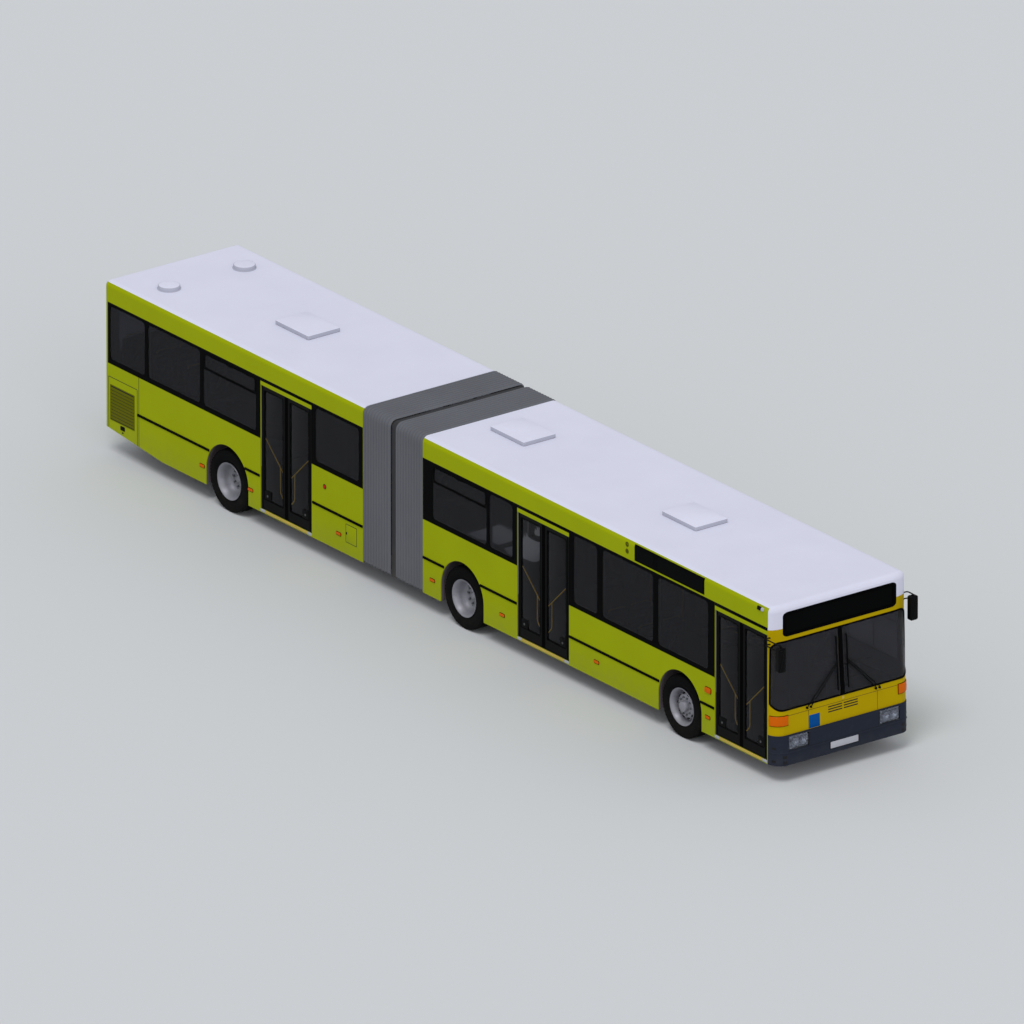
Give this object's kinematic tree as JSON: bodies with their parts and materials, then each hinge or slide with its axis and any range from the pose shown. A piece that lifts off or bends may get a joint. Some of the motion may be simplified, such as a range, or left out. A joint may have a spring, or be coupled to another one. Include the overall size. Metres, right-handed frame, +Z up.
{
  "type": "articulated city bus",
  "caption": "Low-floor articulated city bus: front car, bellows joint, rear car, twin-leaf doors and steered front wheels.",
  "frame": {"origin": "on the ground, at the middle of the bus's length with its mirror and of its width with its mirrors", "axes": "+X forwards, +Y to the driver's side (left), +Z up"},
  "size_m": [16.85, 2.76, 2.834],
  "materials": {
    "green_paint": "gloss paint",
    "yellow_paint": "gloss paint",
    "white_paint": "gloss paint",
    "bumper_paint": "satin paint",
    "glass": "tinted",
    "lamp": "clear lens over chrome",
    "black_trim": "fine grain",
    "frame": "chassis paint",
    "rim": "metallic paint",
    "tyre": "rubber",
    "bellows": "coated fabric",
    "seat": "moulded",
    "floor": "speckled vinyl",
    "door": "black frame",
    "engine": "cast"
  },
  "bodies": {
    "front_car": {"front_underframe": "frame", "front_right_wall": "green_paint", "front_left_wall": "green_paint", "front_roof": "white_paint", "front_mask": "yellow_paint", "front_bumper": "bumper_paint", "windscreen": "glass", "front_side_glass": "glass", "headlamps": "lamp", "mirrors": "black_trim", "wipers": "black_trim", "front_seats": "seat", "driver_cab": "black_trim", "front_axles": "frame", "front_bellows": "bellows"},
    "steering_wheel": {"steering_wheel": "black_trim"},
    "left_knuckle": {"left_knuckle": "frame"},
    "right_knuckle": {"right_knuckle": "frame"},
    "front_left_wheel": {"front_left_rim": "rim", "front_left_tyre": "tyre"},
    "front_right_wheel": {"front_right_rim": "rim", "front_right_tyre": "tyre"},
    "middle_left_wheel": {"middle_left_rim": "rim", "middle_left_tyre": "tyre"},
    "middle_right_wheel": {"middle_right_rim": "rim", "middle_right_tyre": "tyre"},
    "rear_left_wheel": {"rear_left_rim": "rim", "rear_left_tyre": "tyre"},
    "rear_right_wheel": {"rear_right_rim": "rim", "rear_right_tyre": "tyre"},
    "articulation": {"bellows_hoop": "bellows", "turntable": "floor"},
    "rear_car": {"rear_underframe": "frame", "rear_right_wall": "green_paint", "rear_left_wall": "green_paint", "rear_roof": "white_paint", "rear_wall": "green_paint", "rear_glass": "glass", "engine": "engine", "rear_axle": "frame", "rear_seats": "seat", "rear_bellows": "bellows"},
    "engine_hatch": {"engine_hatch": "green_paint"},
    "front_roof_hatch": {"front_roof_hatch": "white_paint"},
    "middle_roof_hatch": {"middle_roof_hatch": "white_paint"},
    "rear_roof_hatch": {"rear_roof_hatch": "white_paint"},
    "front_door_fore_column": {"front_door_fore_column": "black_trim"},
    "front_door_fore_leaf": {"front_door_fore_leaf": "door"},
    "front_door_aft_column": {"front_door_aft_column": "black_trim"},
    "front_door_aft_leaf": {"front_door_aft_leaf": "door"},
    "middle_door_fore_column": {"middle_door_fore_column": "black_trim"},
    "middle_door_fore_leaf": {"middle_door_fore_leaf": "door"},
    "middle_door_aft_column": {"middle_door_aft_column": "black_trim"},
    "middle_door_aft_leaf": {"middle_door_aft_leaf": "door"},
    "rear_door_fore_column": {"rear_door_fore_column": "black_trim"},
    "rear_door_fore_leaf": {"rear_door_fore_leaf": "door"},
    "rear_door_aft_column": {"rear_door_aft_column": "black_trim"},
    "rear_door_aft_leaf": {"rear_door_aft_leaf": "door"}
  },
  "joints": [
    {"name": "left_steer", "type": "hinge", "parent": "front_car", "child": "left_knuckle", "pos_m": [5.845, 1.022, 0.487], "axis": [0, 0, 1], "range_deg": [-40, 40]},
    {"name": "right_steer", "type": "hinge", "parent": "front_car", "child": "right_knuckle", "pos_m": [5.845, -1.022, 0.487], "axis": [0, 0, 1], "range_deg": [-40, 40]},
    {"name": "steering_wheel_turn", "type": "hinge", "parent": "front_car", "child": "steering_wheel", "pos_m": [7.515, 0.72, 1.29], "axis": [-0.4695, 0, 0.8829], "range_deg": [-640, 640]},
    {"name": "front_left_wheel_spin", "type": "hinge", "parent": "left_knuckle", "child": "front_left_wheel", "pos_m": [5.845, 1.0875, 0.487], "axis": [0, 1, 0], "continuous": true},
    {"name": "middle_left_wheel_spin", "type": "hinge", "parent": "front_car", "child": "middle_left_wheel", "pos_m": [0.495, 0.93, 0.487], "axis": [0, 1, 0], "continuous": true},
    {"name": "rear_left_wheel_spin", "type": "hinge", "parent": "rear_car", "child": "rear_left_wheel", "pos_m": [-5.345, 0.93, 0.487], "axis": [0, 1, 0], "continuous": true},
    {"name": "front_right_wheel_spin", "type": "hinge", "parent": "right_knuckle", "child": "front_right_wheel", "pos_m": [5.845, -1.0875, 0.487], "axis": [0, 1, 0], "continuous": true},
    {"name": "middle_right_wheel_spin", "type": "hinge", "parent": "front_car", "child": "middle_right_wheel", "pos_m": [0.495, -0.93, 0.487], "axis": [0, 1, 0], "continuous": true},
    {"name": "rear_right_wheel_spin", "type": "hinge", "parent": "rear_car", "child": "rear_right_wheel", "pos_m": [-5.345, -0.93, 0.487], "axis": [0, 1, 0], "continuous": true},
    {"name": "rear_car_turn", "type": "hinge", "parent": "front_car", "child": "rear_car", "pos_m": [-1.218, 0, 0.3], "axis": [0, 0, 1], "range_deg": [-54, 54], "deforming": ["rear_bellows"]},
    {"name": "hoop_turn", "type": "hinge", "parent": "front_car", "child": "articulation", "pos_m": [-1.218, 0, 0.3], "axis": [0, 0, 1], "range_deg": [-27, 27], "deforming": ["front_bellows"]},
    {"name": "engine_hatch_lift", "type": "hinge", "parent": "rear_car", "child": "engine_hatch", "pos_m": [-8.413, 0, 1.417], "axis": [0, 1, 0], "range_deg": [0, 75]},
    {"name": "front_roof_hatch_lift", "type": "hinge", "parent": "front_car", "child": "front_roof_hatch", "pos_m": [4.965, 0, 2.773], "axis": [0, 1, 0], "range_deg": [0, 30]},
    {"name": "middle_roof_hatch_lift", "type": "hinge", "parent": "front_car", "child": "middle_roof_hatch", "pos_m": [0.745, 0, 2.773], "axis": [0, 1, 0], "range_deg": [0, 30]},
    {"name": "rear_roof_hatch_lift", "type": "hinge", "parent": "rear_car", "child": "rear_roof_hatch", "pos_m": [-4.595, 0, 2.773], "axis": [0, 1, 0], "range_deg": [0, 30]},
    {"name": "front_door_fore_turn", "type": "hinge", "parent": "front_car", "child": "front_door_fore_column", "pos_m": [7.943, -1.222, 1.3], "axis": [0, 0, -1], "range_deg": [0, 84]},
    {"name": "front_door_fore_fold", "type": "hinge", "parent": "front_door_fore_column", "child": "front_door_fore_leaf", "pos_m": [7.639, -1.222, 1.3], "axis": [0, 0, -1], "range_deg": [-168, 0]},
    {"name": "front_door_aft_turn", "type": "hinge", "parent": "front_car", "child": "front_door_aft_column", "pos_m": [6.727, -1.222, 1.3], "axis": [0, 0, 1], "range_deg": [0, 84]},
    {"name": "front_door_aft_fold", "type": "hinge", "parent": "front_door_aft_column", "child": "front_door_aft_leaf", "pos_m": [7.031, -1.222, 1.3], "axis": [0, 0, 1], "range_deg": [-168, 0]},
    {"name": "middle_door_fore_turn", "type": "hinge", "parent": "front_car", "child": "middle_door_fore_column", "pos_m": [3.098, -1.222, 1.3], "axis": [0, 0, -1], "range_deg": [0, 84]},
    {"name": "middle_door_fore_fold", "type": "hinge", "parent": "middle_door_fore_column", "child": "middle_door_fore_leaf", "pos_m": [2.794, -1.222, 1.3], "axis": [0, 0, -1], "range_deg": [-168, 0]},
    {"name": "middle_door_aft_turn", "type": "hinge", "parent": "front_car", "child": "middle_door_aft_column", "pos_m": [1.882, -1.222, 1.3], "axis": [0, 0, 1], "range_deg": [0, 84]},
    {"name": "middle_door_aft_fold", "type": "hinge", "parent": "middle_door_aft_column", "child": "middle_door_aft_leaf", "pos_m": [2.186, -1.222, 1.3], "axis": [0, 0, 1], "range_deg": [-168, 0]},
    {"name": "rear_door_fore_turn", "type": "hinge", "parent": "rear_car", "child": "rear_door_fore_column", "pos_m": [-3.266, -1.222, 1.3], "axis": [0, 0, -1], "range_deg": [0, 84]},
    {"name": "rear_door_fore_fold", "type": "hinge", "parent": "rear_door_fore_column", "child": "rear_door_fore_leaf", "pos_m": [-3.57, -1.222, 1.3], "axis": [0, 0, -1], "range_deg": [-168, 0]},
    {"name": "rear_door_aft_turn", "type": "hinge", "parent": "rear_car", "child": "rear_door_aft_column", "pos_m": [-4.482, -1.222, 1.3], "axis": [0, 0, 1], "range_deg": [0, 84]},
    {"name": "rear_door_aft_fold", "type": "hinge", "parent": "rear_door_aft_column", "child": "rear_door_aft_leaf", "pos_m": [-4.178, -1.222, 1.3], "axis": [0, 0, 1], "range_deg": [-168, 0]}
  ],
  "couplings": [
    {"joint": "right_steer", "follows": "left_steer", "ratio": 1},
    {"joint": "steering_wheel_turn", "follows": "left_steer", "ratio": 16},
    {"joint": "hoop_turn", "follows": "rear_car_turn", "ratio": 0.5},
    {"joint": "front_door_fore_fold", "follows": "front_door_fore_turn", "ratio": -2},
    {"joint": "front_door_aft_fold", "follows": "front_door_aft_turn", "ratio": -2},
    {"joint": "middle_door_fore_fold", "follows": "middle_door_fore_turn", "ratio": -2},
    {"joint": "middle_door_aft_fold", "follows": "middle_door_aft_turn", "ratio": -2},
    {"joint": "rear_door_fore_fold", "follows": "rear_door_fore_turn", "ratio": -2},
    {"joint": "rear_door_aft_fold", "follows": "rear_door_aft_turn", "ratio": -2}
  ]
}
